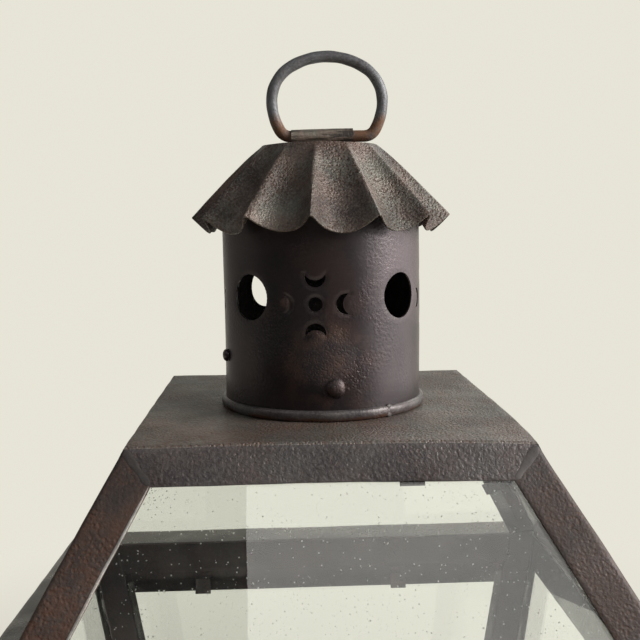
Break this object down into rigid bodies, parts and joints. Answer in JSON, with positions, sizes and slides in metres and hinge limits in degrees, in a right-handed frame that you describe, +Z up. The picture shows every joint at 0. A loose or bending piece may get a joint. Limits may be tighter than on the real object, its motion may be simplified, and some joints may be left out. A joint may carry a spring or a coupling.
{
  "type": "hanging lantern",
  "caption": "Hanging lantern of soldered sheet iron: tapered glazed body with back door, hipped glass roof, wide eave, pierced chimney, fluted cap and swinging ring",
  "frame": {"origin": "middle of the base's underside, on the surface that the lantern can stand on", "axes": "+Z up through the chimney; -Y is the front face; +Y is the back face with the door; +X is right seen from the front"},
  "size_m": [0.378, 0.378, 0.6101],
  "materials": {
    "dark_iron": "dark patinated sheet iron, pitted, with rust",
    "cap_iron": "weathered grey-brown sheet iron",
    "ring_iron": "smooth dark round bar",
    "pane": "old clear window glass, dusty",
    "fittings_iron": "dark forged small fittings"
  },
  "bodies": {
    "lantern": {"base_pan": "dark_iron", "body_glass_front": "pane", "body_glass_left": "pane", "body_glass_right": "pane", "body_glass_tabs": "fittings_iron", "bottom_rail_back": "dark_iron", "bottom_rail_front": "dark_iron", "bottom_rail_left": "dark_iron", "bottom_rail_right": "dark_iron", "candle_cup": "dark_iron", "chimney": "dark_iron", "chimney_bead": "dark_iron", "chimney_rivets": "fittings_iron", "cup_rivet": "fittings_iron", "drip_dish": "dark_iron", "eave_back": "dark_iron", "eave_front": "dark_iron", "eave_left": "dark_iron", "eave_right": "dark_iron", "fluted_cap": "cap_iron", "hinge_frame_leaves": "fittings_iron", "hinge_pins": "fittings_iron", "latch_keeper": "fittings_iron", "post_back_left": "dark_iron", "post_back_right": "dark_iron", "post_front_left": "dark_iron", "post_front_right": "dark_iron", "ring_strap": "ring_iron", "roof_apron_back": "dark_iron", "roof_apron_front": "dark_iron", "roof_apron_left": "dark_iron", "roof_apron_right": "dark_iron", "roof_glass_back": "pane", "roof_glass_front": "pane", "roof_glass_left": "pane", "roof_glass_right": "pane", "roof_glass_tabs": "fittings_iron", "roof_hip_back_left": "dark_iron", "roof_hip_back_right": "dark_iron", "roof_hip_front_left": "dark_iron", "roof_hip_front_right": "dark_iron", "top_plate": "dark_iron", "top_rail_back": "dark_iron", "top_rail_front": "dark_iron", "top_rail_left": "dark_iron", "top_rail_right": "dark_iron"},
    "door": {"door_glass": "pane", "door_glass_tabs": "fittings_iron", "door_rail_bottom": "dark_iron", "door_rail_top": "dark_iron", "door_stile_hinge": "dark_iron", "door_stile_latch": "dark_iron", "hinge_door_leaves": "fittings_iron", "latch_rivet": "fittings_iron"},
    "latch": {"latch_button": "fittings_iron"},
    "ring": {"hanging_ring": "ring_iron"}
  },
  "joints": [
    {"name": "door_swing", "type": "hinge", "parent": "lantern", "child": "door", "pos_m": [0.10696, 0.11729, 0.07174], "axis": [-0.217, -0.217, -0.9517], "range_deg": [0, 110]},
    {"name": "latch_turn", "type": "hinge", "parent": "door", "child": "latch", "pos_m": [-0.11566, 0.13102, 0.15176], "axis": [0, 0.975, -0.2223], "range_deg": [0, 90]},
    {"name": "ring_swing", "type": "hinge", "parent": "lantern", "child": "ring", "pos_m": [0.0042, 0, 0.56673], "axis": [1, 0, 0], "range_deg": [-90, 90]}
  ]
}
